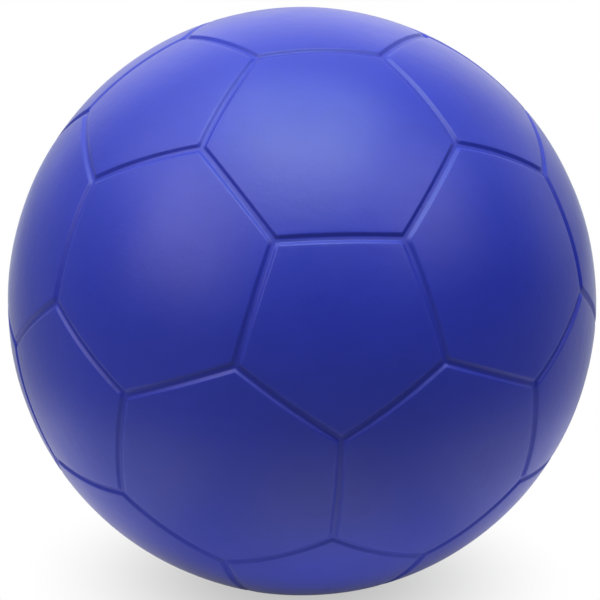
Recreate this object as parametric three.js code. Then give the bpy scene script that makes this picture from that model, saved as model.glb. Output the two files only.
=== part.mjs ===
// A moulded foam football: a core of soft foam in a tough skin. The classic pattern of 12 pentagons and 20 hexagons
// is moulded in as shallow channels. The skin is made in two halves that meet in a zigzag on the floors of channels.
// Millimetres, +Z up, origin at the ball's centre. The ball stands on a hexagon, and a pentagon faces -Y.

import * as THREE from 'three';
import { mergeVertices } from 'three/addons/utils/BufferGeometryUtils.js';

// Driving dimensions
const BALL_DIAMETER = 200;
const SKIN_THICKNESS = 1.5;

// The channel between two panels has a flat floor, a sloped wall on either side and a rounded lip above each wall.
const CHANNEL_DEPTH = 0.85;
const CHANNEL_FLOOR_WIDTH = 1.3;
const CHANNEL_WALL_RUN = 0.9;
const LIP_RUN = 0.25;
const LIP_DROP = 0.1;

// Clearances between the skin and the core, and between the two half-skins, measured up the ball.
const BOND_GAP = 0.3;
const PARTING_GAP = 0.36;

// Facets along each side of a panel.
const SIDE_STEPS = 3;

const ballRadius = BALL_DIAMETER / 2;
const up = new THREE.Vector3(0, 0, 1);

// The pattern comes from an icosahedron that stands on a face. Its 12 corners are the middles of the pentagons and
// its 20 faces those of the hexagons.
function standingIcosahedron() {
  const loose = new THREE.IcosahedronGeometry();
  loose.deleteAttribute('normal');
  loose.deleteAttribute('uv');
  const geometry = mergeVertices(loose);
  const position = geometry.getAttribute('position');
  const index = Array.from(geometry.getIndex().array);
  const corners = Array.from({ length: position.count }, (_, i) => new THREE.Vector3().fromBufferAttribute(position, i));
  const faces = Array.from({ length: index.length / 3 }, (_, i) => index.slice(3 * i, 3 * i + 3));

  const [first, second, third] = faces[0].map((i) => corners[i]);
  const upward = first.clone().add(second).add(third).normalize();
  const backward = first.clone().projectOnPlane(upward).normalize();
  const rightward = backward.clone().cross(upward);
  const stand = new THREE.Matrix4().makeBasis(rightward, backward, upward).transpose();
  corners.forEach((corner) => corner.applyMatrix4(stand).normalize());
  return { corners, faces };
}

// Each panel has its middle and the ring of its corners, anticlockwise seen from outside. Three panels meet at each
// corner, which lies a third of the way along an edge of the icosahedron, so the panels' sides are all alike.
function layOutPanels() {
  const { corners, faces } = standingIcosahedron();
  const panelCorners = new Map();
  const panelCorner = (near, far) => {
    const key = `${near} towards ${far}`;
    if (!panelCorners.has(key)) {
      panelCorners.set(key, { key, point: corners[near].clone().lerp(corners[far], 1 / 3).normalize() });
    }
    return panelCorners.get(key);
  };

  const hexagons = faces.map((face) => ({
    middle: face.reduce((sum, i) => sum.add(corners[i]), new THREE.Vector3()).normalize(),
    ring: face.flatMap((near, i) => {
      const far = face[(i + 1) % face.length];
      return [panelCorner(near, far), panelCorner(far, near)];
    }),
  }));

  const pentagons = corners.map((middle, near) => {
    const nextNeighbour = new Map();
    faces.filter((face) => face.includes(near)).forEach((face) => {
      const place = face.indexOf(near);
      nextNeighbour.set(face[(place + 1) % face.length], face[(place + 2) % face.length]);
    });
    const ring = [];
    let [neighbour] = nextNeighbour.keys();
    while (ring.length < nextNeighbour.size) {
      ring.push(panelCorner(near, neighbour));
      neighbour = nextNeighbour.get(neighbour);
    }
    return { middle, ring };
  });

  const panels = [...hexagons, ...pentagons];
  layOutSides(panels);
  return panels;
}

// A panel's side runs along a seam, which is an arc of a great circle. The two panels beside a seam share its points,
// and each knows the panel that lies across.
function layOutSides(panels) {
  const sides = new Map();
  panels.forEach((panel) => {
    panel.sides = panel.ring.map((start, i) => {
      const end = panel.ring[(i + 1) % panel.ring.length];
      const twin = sides.get(`${end.key}, ${start.key}`);
      const points = twin ? twin.points.toReversed() : arc(start.point, end.point);
      const side = { panel, points, across: twin?.panel };
      if (twin) {
        twin.across = panel;
      }
      sides.set(`${start.key}, ${end.key}`, side);
      return side;
    });
  });
}

function arc(start, end) {
  const angle = start.angleTo(end);
  const between = Array.from({ length: SIDE_STEPS - 1 }, (_, i) => {
    const share = (i + 1) / SIDE_STEPS;
    const fromStart = start.clone().multiplyScalar(Math.sin((1 - share) * angle));
    return fromStart.addScaledVector(end, Math.sin(share * angle)).normalize();
  });
  return [start, ...between, end];
}

// A row of a panel that keeps one distance from all its seams. Its corners lie on the lines from the panel's corners
// to its middle, and the points of a side lie on the circle that is parallel to the seam.
function insetRow(panel, inset) {
  const tilt = inset / ballRadius;
  const inward = panel.sides.map(({ points }) => points[0].clone().cross(points.at(-1)).normalize());
  const corners = panel.ring.map(({ point }, i) => {
    const alongSide = inward[i].clone().cross(point);
    const toMiddle = panel.middle.clone().projectOnPlane(point).normalize();
    const reach = Math.asin(Math.sin(tilt) / Math.sin(alongSide.angleTo(toMiddle)));
    return point.clone().multiplyScalar(Math.cos(reach)).addScaledVector(toMiddle, Math.sin(reach));
  });
  return corners.map((start, i) => {
    const end = corners[(i + 1) % corners.length];
    const [flatStart, flatEnd] = [start, end].map((point) => point.clone().projectOnPlane(inward[i]).normalize());
    const between = arc(flatStart, flatEnd).slice(1, -1);
    const raised = between.map((point) => point.multiplyScalar(Math.cos(tilt)).addScaledVector(inward[i], Math.sin(tilt)));
    return [start, ...raised, end];
  });
}

// Half of the channel's section, from the floor's edge up to the panel, on a surface that lies some way below the
// ball's. The walls stay parallel, so the surface is as far below the channel as it is below the panel.
function channelRows(below) {
  const wallSlope = Math.atan2(CHANNEL_DEPTH - LIP_DROP, CHANNEL_WALL_RUN);
  const floorEdge = CHANNEL_FLOOR_WIDTH / 2 + below * Math.tan(wallSlope / 2);
  const wallTop = floorEdge + CHANNEL_WALL_RUN;
  const radius = ballRadius - below;
  return {
    floorEdge: { inset: floorEdge, radius: radius - CHANNEL_DEPTH },
    wallTop: { inset: wallTop, radius: radius - LIP_DROP },
    panelEdge: { inset: wallTop + LIP_RUN, radius },
  };
}

// The skin's outside has the rounded lips. Its inside and the core go straight from the floor to the panel.
function outerRows() {
  const { floorEdge, wallTop, panelEdge } = channelRows(0);
  return [floorEdge, wallTop, panelEdge];
}

function hiddenRows(below) {
  const { floorEdge, panelEdge } = channelRows(below);
  return [floorEdge, panelEdge];
}

// One panel's surface as triangles that face outwards: the channel beside each seam, and then a grid of triangles in
// the sector between the channel and the panel's middle. place says where a seam's points go.
function panelTriangles(panel, rows, place) {
  const triangles = [];
  const seamRow = panel.sides.map(({ points }) => atRadius(points.map(place), rows[0].radius));
  const channel = rows.map(({ inset, radius }) => insetRow(panel, inset).map((points) => atRadius(points, radius)));
  const grid = [seamRow, ...channel];

  panel.sides.forEach((_, side) => {
    for (let row = 1; row < grid.length; row += 1) {
      const outer = grid[row - 1][side];
      const inner = grid[row][side];
      for (let step = 0; step < SIDE_STEPS; step += 1) {
        triangles.push([outer[step], outer[step + 1], inner[step + 1]]);
        triangles.push([outer[step], inner[step + 1], inner[step]]);
      }
    }
    let outer = grid.at(-1)[side];
    const [start, end] = [outer[0], outer.at(-1)];
    for (let level = SIDE_STEPS - 1; level >= 0; level -= 1) {
      const inner = sectorRow(panel.middle, start, end, level, rows.at(-1).radius);
      for (let step = 0; step <= level; step += 1) {
        triangles.push([outer[step], outer[step + 1], inner[step]]);
        if (step > 0) {
          triangles.push([outer[step], inner[step], inner[step - 1]]);
        }
      }
      outer = inner;
    }
  });
  return triangles;
}

function atRadius(points, radius) {
  return points.map((point) => point.clone().multiplyScalar(radius));
}

// Level 0 of a sector is the panel's middle, and each level further out has one facet more.
function sectorRow(middle, start, end, level, radius) {
  const share = level / SIDE_STEPS;
  return Array.from({ length: level + 1 }, (_, step) => {
    const along = step / Math.max(level, 1);
    const edge = start.clone().multiplyScalar(1 - along).addScaledVector(end, along);
    return edge.multiplyScalar(share).addScaledVector(middle, (1 - share) * radius).setLength(radius);
  });
}

// The core fills the skin and has its channels, in which the ribs on the skin's inside sit.
function coreTriangles(panels) {
  const rows = hiddenRows(SKIN_THICKNESS + BOND_GAP);
  return panels.flatMap((panel) => panelTriangles(panel, rows, (point) => point));
}

// A half-skin has the outer and inner faces of the panels in its half of the ball, and a rim along the parting line,
// whose points lie back from the other half by half of the gap. half is 1 for the upper one and -1 for the lower.
function halfSkinTriangles(panels, half) {
  const isOwn = ({ middle }) => Math.sign(middle.z) === half;
  const own = panels.filter(isOwn);
  const rims = own.flatMap(({ sides }) => sides.filter(({ across }) => !isOwn(across)));
  const rimPoints = new Set(rims.flatMap(({ points }) => points));
  const retreat = half * PARTING_GAP / 2 / ballRadius;
  const place = (point) => (rimPoints.has(point) ? point.clone().addScaledVector(up, retreat).normalize() : point);

  const outside = outerRows();
  const inside = hiddenRows(SKIN_THICKNESS);
  const outerFace = own.flatMap((panel) => panelTriangles(panel, outside, place));
  const innerFace = own.flatMap((panel) => panelTriangles(panel, inside, place)).map((corners) => corners.toReversed());
  const rim = rims.flatMap(({ points }) => {
    const outer = atRadius(points.map(place), outside[0].radius);
    const inner = atRadius(points.map(place), inside[0].radius);
    return Array.from({ length: SIDE_STEPS }, (_, step) => [
      [outer[step + 1], outer[step], inner[step]],
      [outer[step + 1], inner[step], inner[step + 1]],
    ]).flat();
  });
  return [...outerFace, ...innerFace, ...rim];
}

function makePiece(name, triangles, finish) {
  const geometry = mergeVertices(new THREE.BufferGeometry().setFromPoints(triangles.flat()));
  geometry.computeVertexNormals();
  const piece = new THREE.Mesh(geometry, new THREE.MeshStandardMaterial(finish));
  piece.name = name;
  return piece;
}

const skinFinish = { color: 0x2d3abc, roughness: 0.4, metalness: 0 };
const foamFinish = { color: 0xe9dfc4, roughness: 0.95, metalness: 0 };

const panels = layOutPanels();
const ball = new THREE.Group();
ball.add(
  makePiece('foam_core', coreTriangles(panels), foamFinish),
  makePiece('skin_upper', halfSkinTriangles(panels, 1), skinFinish),
  makePiece('skin_lower', halfSkinTriangles(panels, -1), skinFinish),
);

export default ball;
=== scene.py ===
"""Looks of a moulded foam football: a satin blue skin, in two half-skins, over a core of soft foam.

The pieces are surfaces worked out with numpy, in metres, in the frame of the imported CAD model: origin at
the ball's centre, +Z up, a hexagon panel on top and under the ball, and a pentagon panel towards -Y.
"""

import math

import bmesh
import bpy
import numpy as np
from mathutils import Matrix, Vector


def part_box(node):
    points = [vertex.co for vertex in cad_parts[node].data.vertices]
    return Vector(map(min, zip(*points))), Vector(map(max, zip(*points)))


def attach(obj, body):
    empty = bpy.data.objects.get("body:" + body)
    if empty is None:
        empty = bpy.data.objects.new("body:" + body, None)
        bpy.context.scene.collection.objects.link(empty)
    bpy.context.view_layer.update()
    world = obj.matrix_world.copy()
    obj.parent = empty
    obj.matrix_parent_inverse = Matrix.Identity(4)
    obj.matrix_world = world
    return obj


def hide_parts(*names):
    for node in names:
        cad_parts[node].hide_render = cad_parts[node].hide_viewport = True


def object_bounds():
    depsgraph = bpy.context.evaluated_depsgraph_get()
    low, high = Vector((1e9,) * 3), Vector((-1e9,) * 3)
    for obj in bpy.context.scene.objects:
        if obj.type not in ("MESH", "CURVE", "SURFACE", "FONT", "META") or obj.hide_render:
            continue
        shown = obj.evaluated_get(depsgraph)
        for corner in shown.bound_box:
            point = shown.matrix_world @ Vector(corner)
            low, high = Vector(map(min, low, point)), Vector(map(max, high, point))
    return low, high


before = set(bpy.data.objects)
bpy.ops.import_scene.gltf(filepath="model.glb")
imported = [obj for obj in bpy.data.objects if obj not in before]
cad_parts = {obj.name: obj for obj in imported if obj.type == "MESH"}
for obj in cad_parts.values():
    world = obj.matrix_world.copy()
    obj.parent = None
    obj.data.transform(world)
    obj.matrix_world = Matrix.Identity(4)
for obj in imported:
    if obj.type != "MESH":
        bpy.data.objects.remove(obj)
cad_low, cad_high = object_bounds()
core_low, core_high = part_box("foam_core")

# Sizes. The two radii come from the frame. The channel follows the CAD model's, with rounded corners.
BALL_RADIUS = (cad_high.z - cad_low.z) / 2
CORE_RADIUS = (core_high.z - core_low.z) / 2
SKIN_THICKNESS = 0.0015
CHANNEL_DEPTH = 0.00085
CHANNEL_FLOOR_WIDTH = 0.0013
CHANNEL_WALL_RUN = 0.001
LIP_RADIUS = 0.0008
FLOOR_CORNER_RADIUS = 0.0008

# How finely the surfaces are cut: along a panel's side, round each rounded corner of the channel, and from
# the channel to the panel's middle. The skin's inside and the core are hidden, and have fewer rows.
SIDE_STEPS = 24
CORNER_STEPS = 5
LAND_ROWS = 14
HIDDEN_CORNER_STEPS = 2
HIDDEN_LAND_ROWS = 6
CREASE_ANGLE = math.radians(60)
MERGE_DISTANCE = 1e-6

# The soft ball's slight unevenness: how far a wave moves a point, and how long the two waves are.
SWELL = 0.00004
LONG_SWELL = 0.05
SHORT_SWELL = 0.03125

# Colours, linear.
SKIN_BLUE = (0.0265, 0.044, 0.5)
# Painted shade for the channels and the pinholes.
PAINTED_SHADE_BLUE = (0.013, 0.022, 0.25)
SKIN_RUBBED_BLUE = (0.06, 0.085, 0.6)
FOAM_CREAM = (0.78, 0.70, 0.52)
FLOOR_GREY = (0.15, 0.15, 0.15)
WHITE = (1.0, 1.0, 1.0)

# The skin's finish. The shares say how far the painted shade and the rubbed blue go, and the lengths how wide
# the spots are.
PANEL_ROUGHNESS_LOW = 0.36
PANEL_ROUGHNESS_HIGH = 0.40
CHANNEL_ROUGHNESS = 0.42
SKIN_IOR = 1.5
BLOOM_WEIGHT = 0.35
BLOOM_ROUGHNESS = 0.25
CHANNEL_PAINTED_SHADE_SHARE = 0.06
LIP_RUBBED_SHARE = 0.2
PINHOLE_PAINTED_SHADE_SHARE = 0.4
MOTTLE_SHARE = 0.05
SPECKLE_SHARE = 0.35
BLOTCH_LENGTH = 0.035
SPECKLE_LENGTH = 0.005
SATIN_LENGTH = 0.012
RUB_LENGTH = 0.009
PEEL_LENGTH = 0.0035
PEEL_DEPTH = 0.00006
GRAIN_LENGTH = 0.0007
GRAIN_DEPTH = 0.000025
PINHOLE_SPACING = 0.004
PINHOLE_RADIUS = 0.00024
PINHOLE_DEPTH = 0.00006

# The foam's finish, with painted shade darkening the cells' hollows.
FOAM_ROUGHNESS = 0.95
FOAM_SPECULAR = 0.2
FOAM_BLOTCH_SHADE = 0.9
FOAM_HOLLOW_PAINTED_SHADE = 0.55
CELL_LENGTH = 0.0011
CELL_DEPTH = 0.0004

# The photograph's camera, as fitted to the ball's outline and seams.
CAMERA_AZIMUTH = math.radians(-7.465)
CAMERA_ELEVATION = math.radians(16.194)
CAMERA_ROLL = math.radians(-0.820)
CAMERA_DISTANCE = 8.884 * BALL_RADIUS
CAMERA_LENS = 155.91
CAMERA_SENSOR = 36.0
PICTURE_SIDE = 600
BALL_RIGHT_OF_MIDDLE = 2.02
BALL_BELOW_MIDDLE = 1.22

# The studio.
SOFTBOX_DISTANCE = 9 * BALL_RADIUS
FRESH_TINT = (0.88, 1.1, 1.02)
WARM_TINT = (1.1, 1.07, 0.88)
AMBER_TINT = (1.16, 0.98, 0.88)
PINK_TINT = (1.04, 0.9, 1.06)
COOL_TINT = (0.94, 0.98, 1.1)
CARD_LIFT = 0.005 * BALL_RADIUS
SPOT_EDGE_COSINE = 0.75
FLOOR_HALF_SIDE = 4.0
FLOOR_ROUGHNESS = 0.9
# Where the middle of the painted backdrop sweep in the floor's painted reflection lies.
SWEEP_RIGHT_OF_BALL = 0.8 * BALL_RADIUS


def unit(vectors):
    """Each vector divided by its length."""
    return vectors / np.linalg.norm(vectors, axis=-1, keepdims=True)


# The pattern of panels


def standing_icosahedron():
    """An icosahedron that stands on a face, with a corner of its top face to the back.

    Returns its 12 corners, its 20 faces and which corners are neighbours. The corners are the even turns of
    (0, 1, golden ratio) with every sign, and three corners that are all neighbours make a face. Neighbours
    lie closest together, where the cosine between them is 1 / sqrt(5).
    """
    golden = (1 + math.sqrt(5)) / 2
    rectangle = np.array([(0, short, long) for short in (-1, 1) for long in (-golden, golden)])
    corners = unit(np.concatenate([np.roll(rectangle, turn, axis=1) for turn in range(3)]))
    near = np.isclose(corners @ corners.T, 1 / math.sqrt(5))
    first, second, third = np.meshgrid(*[np.arange(len(corners))] * 3, indexing="ij")
    in_order = (first < second) & (second < third)
    faces = np.argwhere(near[first, second] & near[second, third] & near[first, third] & in_order)

    upward = unit(corners[faces[0]].sum(axis=0))
    top_corner = corners[faces[0][0]]
    backward = unit(top_corner - (top_corner @ upward) * upward)
    rightward = np.cross(backward, upward)
    return corners @ np.stack([rightward, backward, upward], axis=1), faces, near


def lay_out_panels():
    """The middle of each of the 32 panels and the ring of its corners, anticlockwise seen from outside.

    Pentagons have their middles at the icosahedron's corners and hexagons at its faces. A panel's corners lie
    a third of the way along the icosahedron's edges, and a panel has the ones that are nearest to its middle.
    """
    corners, faces, near = standing_icosahedron()
    start, end = np.nonzero(near)
    panel_corners = unit(2 * corners[start] + corners[end])
    pentagons = [(middle, 5) for middle in corners]
    hexagons = [(unit(corners[face].sum(axis=0)), 6) for face in faces]
    panels = []
    for middle, sides in pentagons + hexagons:
        ring = panel_corners[np.argsort(-(panel_corners @ middle))[:sides]]
        across = unit(ring[0] - (ring[0] @ middle) * middle)
        turn = np.arctan2(ring @ np.cross(middle, across), ring @ across)
        panels.append((middle, ring[np.argsort(turn)]))
    return panels


# The channel's section


def rounded_section(points, radii, corner_steps):
    """The line through the points with each inner corner replaced by an arc of the given radius.

    An arc of radius r round a corner that turns by an angle t has its centre r / cos(t / 2) from the corner,
    and starts and ends r * tan(t / 2) from it.
    """
    section = [points[:1]]
    for before, corner, after, radius in zip(points, points[1:], points[2:], radii):
        leave, arrive = unit(before - corner), unit(after - corner)
        half_turn = math.acos(np.clip(-leave @ arrive, -1, 1)) / 2
        centre = corner + unit(leave + arrive) * radius / math.cos(half_turn)
        from_centre = -unit(leave + arrive)
        across = unit(arrive - leave)
        sweep = np.linspace(-half_turn, half_turn, corner_steps + 1)[:, None]
        section.append(centre + radius * (np.cos(sweep) * from_centre + np.sin(sweep) * across))
    section.append(points[-1:])
    return np.concatenate(section)


def channel_section(below, corner_steps):
    """Half of the channel as rows of (distance from the seam, depth), on a surface below the ball's.

    The walls stay parallel: both corners move out by below * tan(slope / 2), so the skin is equally thick
    all over.
    """
    slope = math.atan2(CHANNEL_DEPTH, CHANNEL_WALL_RUN)
    floor_edge = CHANNEL_FLOOR_WIDTH / 2 + below * math.tan(slope / 2)
    wall_top = floor_edge + CHANNEL_WALL_RUN
    land = wall_top + 2 * LIP_RADIUS
    corners = np.array([(0, CHANNEL_DEPTH), (floor_edge, CHANNEL_DEPTH), (wall_top, 0), (land, 0)])
    return rounded_section(corners, (FLOOR_CORNER_RADIUS, LIP_RADIUS), corner_steps)


# Surfaces


def inset_rows(middle, ring, distances):
    """Directions of a panel's rows that keep the given distances from its seams, as rows by points by xyz.

    A row's corners lie on the great circles from the panel's corners to its middle, at a reach of
    asin(sin(distance) / sin(half corner angle)). Its sides lie on the circles that are parallel to the seams,
    at cos(distance) * (direction in the seam's plane) + sin(distance) * (seam plane's normal).
    """
    inward = unit(np.cross(ring, np.roll(ring, -1, axis=0)))
    to_middle = unit(middle - (ring @ middle)[:, None] * ring)
    half_corner = math.acos(np.cross(inward[0], ring[0]) @ to_middle[0])
    tilt = (distances / BALL_RADIUS)[:, None, None]
    reach = np.arcsin(np.sin(tilt) / math.sin(half_corner))
    start = np.cos(reach) * ring + np.sin(reach) * to_middle
    end = np.roll(start, -1, axis=1)
    flat_start = unit(start - np.sum(start * inward, axis=-1, keepdims=True) * inward)
    flat_end = unit(end - np.sum(end * inward, axis=-1, keepdims=True) * inward)
    angle = np.arccos(np.clip(np.sum(flat_start * flat_end, axis=-1), -1, 1))[:, :, None, None]
    share = (np.arange(SIDE_STEPS) / SIDE_STEPS)[None, None, :, None]
    from_start = np.sin((1 - share) * angle) * flat_start[:, :, None]
    to_end = np.sin(share * angle) * flat_end[:, :, None]
    lean = tilt[:, :, :, None]
    points = np.cos(lean) * (from_start + to_end) / np.sin(angle) + np.sin(lean) * inward[None, :, None]
    return points.reshape(len(distances), -1, 3)


def distance_from_seams(ring, directions):
    """How far each direction is from the nearest of the panel's seams along the ball's surface, in metres.

    The sine of the angle from a seam's great circle is the direction times that circle's normal.
    """
    inward = unit(np.cross(ring, np.roll(ring, -1, axis=0)))
    nearest = (directions @ inward.T).min(axis=-1)
    return np.arcsin(np.clip(nearest, -1, 1)) * BALL_RADIUS


def panel_surface(middle, ring, below, corner_steps, land_rows):
    """One panel as points, faces and each point's distance from the seam, on a surface below the ball's.

    The channel's rows come first, then the land's, then the middle point. A land row is a share of the way
    from the channel's last row to the panel's middle, pushed out to the sphere. The faces at the middle are
    triangles, which have their last point twice.
    """
    distances, depths = channel_section(below, corner_steps).T
    channel = inset_rows(middle, ring, distances)
    share = (np.arange(1, land_rows) / land_rows)[:, None, None]
    land = unit((1 - share) * channel[-1] + share * middle)
    rows = np.concatenate([channel, land])
    row_depths = np.concatenate([depths, np.zeros(len(land))])[:, None, None]
    grid = rows * (BALL_RADIUS - below - row_depths)

    count, columns = grid.shape[:2]
    index = np.arange(count * columns).reshape(count, columns)
    after = np.roll(index, -1, axis=1)
    quads = np.stack([index[:-1], after[:-1], after[1:], index[1:]], axis=-1).reshape(-1, 4)
    pole = np.full(columns, count * columns)
    fan = np.stack([index[-1], after[-1], pole, pole], axis=-1)
    points = np.concatenate([grid.reshape(-1, 3), middle[None] * (BALL_RADIUS - below)])
    directions = np.concatenate([rows.reshape(-1, 3), middle[None]])
    return points, np.concatenate([quads, fan]), distance_from_seams(ring, directions)


def turned_over(surface):
    """The surface with its faces turned to the other side."""
    points, faces, distance = surface
    is_fan = faces[:, 2] == faces[:, 3]
    return points, np.where(is_fan[:, None], faces[:, [1, 0, 2, 3]], faces[:, ::-1]), distance


def rim_strips(middle, ring, middles):
    """The faces that join the skin's outside and inside along the panel's sides on the parting line.

    A side is on the parting line where the two panels that share it, the ones with the nearest middles, lie
    in different halves of the ball.
    """
    side_middles = unit(ring + np.roll(ring, -1, axis=0))
    sharing = middles[np.argsort(-(side_middles @ middles.T), axis=1)[:, :2]]
    on_rim = np.repeat(sharing[:, 0, 2] * sharing[:, 1, 2] < 0, SIDE_STEPS)
    seam = inset_rows(middle, ring, np.zeros(1))[0]
    count = len(seam)
    start = np.arange(count)[on_rim]
    end = (start + 1) % count
    outer = seam * (BALL_RADIUS - CHANNEL_DEPTH)
    inner = seam * (BALL_RADIUS - SKIN_THICKNESS - CHANNEL_DEPTH)
    faces = np.stack([end, start, start + count, end + count], axis=-1)
    return np.concatenate([outer, inner]), faces, np.zeros(2 * count)


def joined(surfaces):
    """Several surfaces as one, with the faces renumbered."""
    offsets = np.cumsum([0] + [len(points) for points, _, _ in surfaces[:-1]])
    points = np.concatenate([points for points, _, _ in surfaces])
    faces = np.concatenate([faces + offset for (_, faces, _), offset in zip(surfaces, offsets)])
    distance = np.concatenate([distance for _, _, distance in surfaces])
    return points, faces, distance


def settled(points):
    """The points as the soft ball holds them, each moved a little by long waves that cross.

    Each coordinate strays by SWELL * (sin(a * next coordinate + 1) + sin(b * last coordinate + 2)), where a
    is one turn per long swell and b one turn per short swell. Every piece takes the same moves, so the gaps
    between them stay.
    """
    after, last = np.roll(points, -1, axis=1), np.roll(points, -2, axis=1)
    long_wave = np.sin(2 * math.pi / LONG_SWELL * after + 1)
    short_wave = np.sin(2 * math.pi / SHORT_SWELL * last + 2)
    return points + SWELL * (long_wave + short_wave)


# Pieces


def merge_doubles(mesh):
    """Merges points closer than a thousandth of a millimetre."""
    work = bmesh.new()
    work.from_mesh(mesh)
    bmesh.ops.remove_doubles(work, verts=work.verts, dist=MERGE_DISTANCE)
    work.to_mesh(mesh)
    work.free()


def new_piece(name, surfaces, material):
    """A smooth mesh object at the origin, closed by merging the points that neighbouring panels share."""
    points, faces, distance = joined(surfaces)
    is_fan = faces[:, 2] == faces[:, 3]
    mesh = bpy.data.meshes.new(name)
    mesh.from_pydata(settled(points), [], faces[~is_fan].tolist() + faces[is_fan, :3].tolist())
    attribute = mesh.attributes.new("seam_distance", "FLOAT", "POINT")
    attribute.data.foreach_set("value", distance.astype(np.float32))
    merge_doubles(mesh)
    mesh.shade_smooth()
    mesh.set_sharp_from_angle(angle=CREASE_ANGLE)
    mesh.materials.append(material)
    piece = bpy.data.objects.new(name, mesh)
    bpy.context.scene.collection.objects.link(piece)
    return piece


def make_half_skin(name, node, half, panels, material):
    """The outside and inside of the panels in one half of the ball, and the rim between them."""
    middles = np.array([middle for middle, _ in panels])
    surfaces = []
    for middle, ring in panels:
        if middle[2] * half < 0:
            continue
        outside = panel_surface(middle, ring, 0.0, CORNER_STEPS, LAND_ROWS)
        inside = panel_surface(middle, ring, SKIN_THICKNESS, HIDDEN_CORNER_STEPS, HIDDEN_LAND_ROWS)
        surfaces += [outside, turned_over(inside), rim_strips(middle, ring, middles)]
    piece = new_piece(name, surfaces, material)
    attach(piece, "root")
    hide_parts(node)


def make_core(panels, material):
    """The foam core: the same panels and channels, a little inside the skin."""
    below = BALL_RADIUS - CORE_RADIUS
    steps = HIDDEN_CORNER_STEPS, HIDDEN_LAND_ROWS
    piece = new_piece("core_foam", [panel_surface(*panel, below, *steps) for panel in panels], material)
    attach(piece, "root")
    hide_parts("foam_core")


# Nodes


def new_material(name):
    """A node material with a bare Principled shader, and with it the node tree and the shader."""
    material = bpy.data.materials.new(name)
    material.use_nodes = True
    tree = material.node_tree
    tree.nodes.clear()
    shader = tree.nodes.new("ShaderNodeBsdfPrincipled")
    output = tree.nodes.new("ShaderNodeOutputMaterial")
    tree.links.new(shader.outputs["BSDF"], output.inputs["Surface"])
    return material, tree, shader


def add_node(tree, kind, settings=None, inputs=None):
    """A node with its properties set. An input is a value, a colour or another node's output to link."""
    node = tree.nodes.new(kind)
    for key, value in (settings or {}).items():
        setattr(node, key, value)
    for key, value in (inputs or {}).items():
        socket = node.inputs[key]
        if isinstance(value, bpy.types.NodeSocket):
            tree.links.new(value, socket)
        elif socket.type == "RGBA":
            socket.default_value = (*value, 1.0)
        else:
            socket.default_value = value
    return node


def noise(tree, place, wavelength, detail=3.0):
    """Noise from 0 to 1 whose blobs are about one wavelength across, in metres."""
    inputs = {"Vector": place, "Scale": 1 / wavelength, "Detail": detail}
    return add_node(tree, "ShaderNodeTexNoise", inputs=inputs).outputs["Fac"]


def remap(tree, value, low, high, to_low, to_high, course="LINEAR"):
    """Carries a value from one range to another, clamped."""
    inputs = {"Value": value, "From Min": low, "From Max": high, "To Min": to_low, "To Max": to_high}
    return add_node(tree, "ShaderNodeMapRange", {"interpolation_type": course}, inputs).outputs["Result"]


def add(tree, first, second):
    """The sum of two values."""
    return add_node(tree, "ShaderNodeMath", {"operation": "ADD"}, {0: first, 1: second}).outputs[0]


def multiply(tree, first, second):
    """The product of two values."""
    return add_node(tree, "ShaderNodeMath", {"operation": "MULTIPLY"}, {0: first, 1: second}).outputs[0]


def blend_values(tree, share, first, second):
    """The mix of two values by a share from 0 to 1."""
    inputs = {0: share, 2: first, 3: second}
    return add_node(tree, "ShaderNodeMix", {"data_type": "FLOAT"}, inputs).outputs[0]


def blend_colours(tree, share, first, second):
    """The mix of two colours by a share from 0 to 1."""
    inputs = {0: share, 6: first, 7: second}
    return add_node(tree, "ShaderNodeMix", {"data_type": "RGBA"}, inputs).outputs[2]


def scaled(colour, factor):
    """The colour made lighter or darker by a factor."""
    return tuple(channel * factor for channel in colour)


def bump(tree, height, depth, under=None):
    """A normal roughened by a height from 0 to 1 that stands for the given depth, over another normal."""
    inputs = {"Height": height, "Distance": depth, "Strength": 1.0}
    if under is not None:
        inputs["Normal"] = under
    return add_node(tree, "ShaderNodeBump", inputs=inputs).outputs["Normal"]


# Finishes


def scattered_pinholes(tree, place):
    """1 in the pores that the last bubbles leave at the mould's wall, a few hundred on the ball, else 0.

    A pore shows where the surface passes within a quarter of a millimetre of a random cell's middle, in half
    of the cells.
    """
    cells = add_node(tree, "ShaderNodeTexVoronoi", inputs={"Vector": place, "Scale": 1 / PINHOLE_SPACING})
    edge = PINHOLE_RADIUS / PINHOLE_SPACING
    spot = remap(tree, cells.outputs["Distance"], edge / 2, edge, 1.0, 0.0, "SMOOTHSTEP")
    pick = add_node(tree, "ShaderNodeSeparateColor", inputs={"Color": cells.outputs["Color"]})
    return multiply(tree, spot, remap(tree, pick.outputs["Red"], 0.49, 0.51, 0.0, 1.0))


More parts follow.
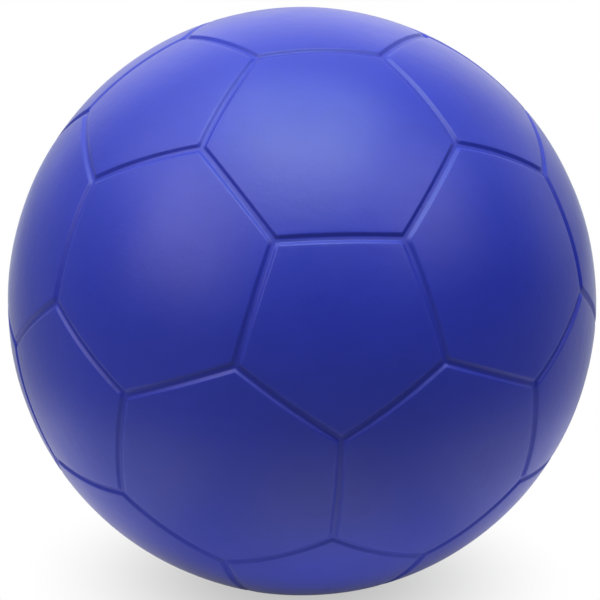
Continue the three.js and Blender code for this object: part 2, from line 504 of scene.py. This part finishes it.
def satin_skin():
    """Royal blue polyurethane as it leaves the mould: satin panels, and duller channels with a little painted
    shade.

    Broad blotches and small speckles vary the blue, and the channels' lips are rubbed paler in broken
    stretches. The mould's fine grain lies over a soft orange peel, with a pinhole here and there, darkened
    with painted shade. The soft skin has a faint bloom where it is seen at a slant.
    """
    material, tree, shader = new_material("satin_blue_skin")
    place = add_node(tree, "ShaderNodeTexCoord").outputs["Object"]
    seam = add_node(tree, "ShaderNodeAttribute", {"attribute_name": "seam_distance"}).outputs["Fac"]
    wall_top = CHANNEL_FLOOR_WIDTH / 2 + CHANNEL_WALL_RUN
    in_channel = remap(tree, seam, 0.8 * wall_top, 1.2 * wall_top, 1.0, 0.0, "SMOOTHSTEP")
    lip_start = remap(tree, seam, 0.7 * wall_top, wall_top, 0.0, 1.0, "SMOOTHSTEP")
    lip_end = remap(tree, seam, wall_top, 1.8 * wall_top, 1.0, 0.0, "SMOOTHSTEP")
    broken = remap(tree, noise(tree, place, RUB_LENGTH), 0.45, 0.65, 0.0, 1.0)
    rubbed = multiply(tree, multiply(tree, lip_start, lip_end), broken)
    pinholes = scattered_pinholes(tree, place)

    blotches, speckles = noise(tree, place, BLOTCH_LENGTH), noise(tree, place, SPECKLE_LENGTH, 4.0)
    mottle = remap(tree, blend_values(tree, SPECKLE_SHARE, blotches, speckles), 0.35, 0.65, 0.0, 1.0)
    darker, lighter = scaled(SKIN_BLUE, 1 - MOTTLE_SHARE), scaled(SKIN_BLUE, 1 + MOTTLE_SHARE)
    blue = blend_colours(tree, mottle, darker, lighter)
    # Painted shade: the channels are darkened a little towards a deeper blue, as shade falls in them.
    blue = blend_colours(tree, multiply(tree, in_channel, CHANNEL_PAINTED_SHADE_SHARE), blue, PAINTED_SHADE_BLUE)
    blue = blend_colours(tree, multiply(tree, rubbed, LIP_RUBBED_SHARE), blue, SKIN_RUBBED_BLUE)
    # Painted shade: the pinholes are darkened towards the deeper blue, as shade falls in them.
    blue = blend_colours(tree, multiply(tree, pinholes, PINHOLE_PAINTED_SHADE_SHARE), blue, PAINTED_SHADE_BLUE)
    tree.links.new(blue, shader.inputs["Base Color"])

    satin_noise = noise(tree, place, SATIN_LENGTH)
    satin = remap(tree, satin_noise, 0.3, 0.7, PANEL_ROUGHNESS_LOW, PANEL_ROUGHNESS_HIGH)
    tree.links.new(blend_values(tree, in_channel, satin, CHANNEL_ROUGHNESS), shader.inputs["Roughness"])
    shader.inputs["IOR"].default_value = SKIN_IOR
    shader.inputs["Sheen Weight"].default_value = BLOOM_WEIGHT
    shader.inputs["Sheen Roughness"].default_value = BLOOM_ROUGHNESS

    peel = bump(tree, noise(tree, place, PEEL_LENGTH), PEEL_DEPTH)
    grain = bump(tree, noise(tree, place, GRAIN_LENGTH, 2.0), GRAIN_DEPTH, peel)
    dents = bump(tree, multiply(tree, pinholes, -1.0), PINHOLE_DEPTH, grain)
    tree.links.new(dents, shader.inputs["Normal"])
    return material


def open_foam():
    """Undyed soft foam in uneven cream: open cells a millimetre across, with pale walls and hollows darkened
    by painted shade.
    """
    material, tree, shader = new_material("open_cream_foam")
    place = add_node(tree, "ShaderNodeTexCoord").outputs["Object"]
    drift = add_node(tree, "ShaderNodeTexNoise", inputs={"Vector": place, "Scale": 0.25 / CELL_LENGTH})
    pull = {0: drift.outputs["Color"], "Scale": 0.5 * CELL_LENGTH}
    pulled = add_node(tree, "ShaderNodeVectorMath", {"operation": "SCALE"}, pull).outputs[0]
    warped = add_node(tree, "ShaderNodeVectorMath", {"operation": "ADD"}, {0: place, 1: pulled}).outputs[0]
    to_edge = {"feature": "DISTANCE_TO_EDGE"}
    cells = add_node(tree, "ShaderNodeTexVoronoi", to_edge, {"Vector": warped, "Scale": 1 / CELL_LENGTH})
    wall = remap(tree, cells.outputs["Distance"], 0.05, 0.35, 1.0, 0.0, "SMOOTHSTEP")
    blotches = noise(tree, place, BLOTCH_LENGTH)
    cream = blend_colours(tree, blotches, scaled(FOAM_CREAM, FOAM_BLOTCH_SHADE), FOAM_CREAM)
    # Painted shade: the cells' hollows are darkened, as shade falls in them.
    colour = blend_colours(tree, wall, scaled(FOAM_CREAM, FOAM_HOLLOW_PAINTED_SHADE), cream)
    tree.links.new(colour, shader.inputs["Base Color"])
    shader.inputs["Roughness"].default_value = FOAM_ROUGHNESS
    shader.inputs["Specular IOR Level"].default_value = FOAM_SPECULAR
    tree.links.new(bump(tree, wall, CELL_DEPTH), shader.inputs["Normal"])
    return material


# Studio


def towards(azimuth, elevation):
    """The direction from the ball at an azimuth, which is 0 at -Y and grows to +X, and an elevation."""
    level = math.cos(elevation)
    return Vector((math.sin(azimuth) * level, -math.cos(azimuth) * level, math.sin(elevation)))


def camera_axes():
    """Right, up and back of the camera, from its azimuth, elevation and roll."""
    back = towards(CAMERA_AZIMUTH, CAMERA_ELEVATION)
    flat_right = Vector((0, 0, 1)).cross(back).normalized()
    flat_up = back.cross(flat_right)
    right = flat_right * math.cos(CAMERA_ROLL) - flat_up * math.sin(CAMERA_ROLL)
    up = flat_up * math.cos(CAMERA_ROLL) + flat_right * math.sin(CAMERA_ROLL)
    return right, up, back


def make_camera():
    """The photograph's camera, with the small shift that puts the ball where the picture has it."""
    right, up, back = camera_axes()
    data = bpy.data.cameras.new("photo_camera")
    data.lens = CAMERA_LENS
    data.sensor_width = CAMERA_SENSOR
    data.shift_x = -BALL_RIGHT_OF_MIDDLE / PICTURE_SIDE
    data.shift_y = BALL_BELOW_MIDDLE / PICTURE_SIDE
    camera = bpy.data.objects.new("photo_camera", data)
    turn = Matrix((right, up, back)).transposed()
    camera.matrix_world = Matrix.Translation(back * CAMERA_DISTANCE) @ turn.to_4x4()
    bpy.context.scene.collection.objects.link(camera)
    bpy.context.scene.camera = camera


def make_softbox(name, azimuth, elevation, side, radiance, tint=WHITE):
    """A square soft lamp that faces the ball. With radiance L and area A it gives off L * A * pi watts."""
    data = bpy.data.lights.new(name, "AREA")
    data.size = side
    data.energy = radiance * side ** 2 * math.pi
    data.color = tint
    lamp = bpy.data.objects.new(name, data)
    away = towards(math.radians(azimuth), math.radians(elevation))
    turn = away.to_track_quat("Z", "Y").to_matrix().to_4x4()
    lamp.matrix_world = Matrix.Translation(away * SOFTBOX_DISTANCE) @ turn
    lamp.visible_camera = False
    bpy.context.scene.collection.objects.link(lamp)


def make_floor_card(name, right, forward, side, radiance):
    """A square white card on the floor that throws soft light up, and isn't seen or mirrored.

    Its place and its side are in ball radii, and a radiance L and an area A again give L * A * pi watts.
    """
    data = bpy.data.lights.new(name, "AREA")
    data.size = side * BALL_RADIUS
    data.energy = radiance * data.size ** 2 * math.pi
    card = bpy.data.objects.new(name, data)
    card.location = Vector((right, -forward, -1)) * BALL_RADIUS + Vector((0, 0, CARD_LIFT))
    card.rotation_euler = (math.pi, 0.0, 0.0)
    card.visible_camera = False
    card.visible_glossy = False
    bpy.context.scene.collection.objects.link(card)


def soft_spot(tree, direction, azimuth, elevation, glow):
    """The glow of a soft round patch of the surround, which fades out about 40 degrees from its middle."""
    middle = towards(math.radians(azimuth), math.radians(elevation))
    cosine = add_node(tree, "ShaderNodeVectorMath", {"operation": "DOT_PRODUCT"}, {0: direction, 1: middle})
    return remap(tree, cosine.outputs["Value"], SPOT_EDGE_COSINE, 1.0, 0.0, glow, "SMOOTHSTEP")


def make_world():
    """A pale surround behind the ball that fades to a dark room in front. Seen directly it is white."""
    world = bpy.data.worlds.new("studio")
    bpy.context.scene.world = world
    world.use_nodes = True
    tree = world.node_tree
    tree.nodes.clear()
    direction = add_node(tree, "ShaderNodeTexCoord").outputs["Generated"]
    behind = soft_spot(tree, direction, azimuth=180, elevation=5, glow=0.92)
    above = soft_spot(tree, direction, azimuth=180, elevation=40, glow=0.72)
    right = soft_spot(tree, direction, azimuth=135, elevation=10, glow=0.76)
    left = soft_spot(tree, direction, azimuth=-135, elevation=15, glow=0.32)
    surround = add(tree, add(tree, behind, above), add(tree, right, left))
    room = add_node(tree, "ShaderNodeBackground", inputs={"Color": WHITE, "Strength": surround}).outputs[0]
    white = add_node(tree, "ShaderNodeBackground", inputs={"Color": WHITE, "Strength": 1.0}).outputs[0]
    camera_ray = add_node(tree, "ShaderNodeLightPath").outputs["Is Camera Ray"]
    shown = add_node(tree, "ShaderNodeMixShader", inputs={0: camera_ray, 1: room, 2: white}).outputs[0]
    add_node(tree, "ShaderNodeOutputWorld", inputs={"Surface": shown})


def painted_floor_reflection(tree, place, reach):
    """How much the floor glows white to glossy rays, a painted reflection on the ball, from 0 to 1, by its
    reach from the ball's foot.

    Before the ball the glow rises from a painted shadow at the foot to a painted white ring and fades out.
    Behind the ball it glows white close by and far away, a painted backdrop sweep, and dims to the sides.
    """
    def by_reach(start, end, low, high):
        """A value that goes from low to high between two reaches in ball radii."""
        return remap(tree, reach, start * BALL_RADIUS, end * BALL_RADIUS, low, high, "SMOOTHSTEP")

    rise = by_reach(start=0.3, end=1.2, low=0.12, high=0.48)
    fade = by_reach(start=1.6, end=2.7, low=1.0, high=0.12)
    front = multiply(tree, rise, fade)

    split = add_node(tree, "ShaderNodeSeparateXYZ", inputs={"Vector": place}).outputs
    from_middle = add(tree, split["X"], -SWEEP_RIGHT_OF_BALL)
    aside = add_node(tree, "ShaderNodeMath", {"operation": "ABSOLUTE"}, {0: from_middle}).outputs[0]
    dimming = remap(tree, aside, 2.6 * BALL_RADIUS, 5.0 * BALL_RADIUS, 1.0, 0.25, "SMOOTHSTEP")
    close = by_reach(start=1.6, end=2.4, low=1.0, high=0.42)
    sweep = by_reach(start=4.3, end=5.7, low=0.0, high=0.58)
    back = multiply(tree, add(tree, close, sweep), dimming)

    behind = remap(tree, split["Y"], -0.5 * BALL_RADIUS, 0.5 * BALL_RADIUS, 0.0, 1.0, "SMOOTHSTEP")
    return blend_values(tree, behind, front, back)


def floor_material():
    """A pale matt floor that the camera sees as white, greyed round the ball's foot by painted shadow and its
    real shadow.
    """
    material, tree, shader = new_material("pale_floor")
    shader.inputs["Base Color"].default_value = (*FLOOR_GREY, 1.0)
    shader.inputs["Roughness"].default_value = FLOOR_ROUGHNESS
    place = add_node(tree, "ShaderNodeTexCoord").outputs["Object"]
    foot = {0: place, 1: (0.0, 0.0, -BALL_RADIUS)}
    reach = add_node(tree, "ShaderNodeVectorMath", {"operation": "DISTANCE"}, foot).outputs["Value"]
    # Painted shadow: to camera rays the white glow thins towards the foot, so the dark floor and its real
    # shadow show there.
    seen = remap(tree, reach, 0.1 * BALL_RADIUS, BALL_RADIUS, 0.5, 1.0, "SMOOTHSTEP")

    path = add_node(tree, "ShaderNodeLightPath").outputs
    either = {0: path["Is Glossy Ray"], 1: path["Is Transmission Ray"]}
    bounced = add_node(tree, "ShaderNodeMath", {"operation": "MAXIMUM"}, either).outputs[0]
    # Painted reflection: glossy rays see the floor glow white in a painted pattern, with a painted shadow at
    # the foot.
    mirrored = multiply(tree, bounced, painted_floor_reflection(tree, place, reach))
    share = add(tree, multiply(tree, path["Is Camera Ray"], seen), mirrored)
    white = add_node(tree, "ShaderNodeEmission", inputs={"Color": WHITE, "Strength": 1.0}).outputs[0]
    shown = add_node(tree, "ShaderNodeMixShader", inputs={0: share, 1: shader.outputs["BSDF"], 2: white})
    tree.links.new(shown.outputs[0], tree.get_output_node("ALL").inputs["Surface"])
    return material


def make_floor():
    """A plain square floor at the ball's foot."""
    mesh = bpy.data.meshes.new("floor")
    signs = ((-1, -1), (1, -1), (1, 1), (-1, 1))
    corners = [(x * FLOOR_HALF_SIDE, y * FLOOR_HALF_SIDE, -BALL_RADIUS) for x, y in signs]
    mesh.from_pydata(corners, [], [(0, 1, 2, 3)])
    mesh.materials.append(floor_material())
    floor = bpy.data.objects.new("floor", mesh)
    bpy.context.scene.collection.objects.link(floor)


def make_studio():
    """The camera, the white surround and floor, six soft lamps and three cards."""
    make_camera()
    make_world()
    make_floor()
    make_softbox("overhead_softbox", azimuth=-10, elevation=82, side=0.7, radiance=2.8, tint=FRESH_TINT)
    make_softbox("front_softbox", azimuth=-5, elevation=62, side=0.5, radiance=2.1, tint=WARM_TINT)
    make_softbox("left_softbox", azimuth=-58, elevation=34, side=0.6, radiance=1.85, tint=AMBER_TINT)
    make_softbox("left_high_softbox", azimuth=-90, elevation=56, side=0.7, radiance=1.45)
    make_softbox("right_softbox", azimuth=50, elevation=42, side=0.5, radiance=1.55, tint=PINK_TINT)
    make_softbox("right_high_softbox", azimuth=70, elevation=56, side=0.6, radiance=0.95, tint=COOL_TINT)
    make_floor_card("left_card", right=-1.3, forward=0.8, side=1.1, radiance=1.35)
    make_floor_card("front_card", right=0.0, forward=1.12, side=0.9, radiance=1.1)
    make_floor_card("right_card", right=1.3, forward=0.8, side=1.1, radiance=1.5)
    bpy.context.scene.view_settings.view_transform = "Standard"


def main():
    """Builds the studio and the three pieces."""
    make_studio()
    panels = lay_out_panels()
    skin = satin_skin()
    make_half_skin("upper_half_skin", "skin_upper", 1, panels, skin)
    make_half_skin("lower_half_skin", "skin_lower", -1, panels, skin)
    make_core(panels, open_foam())


main()
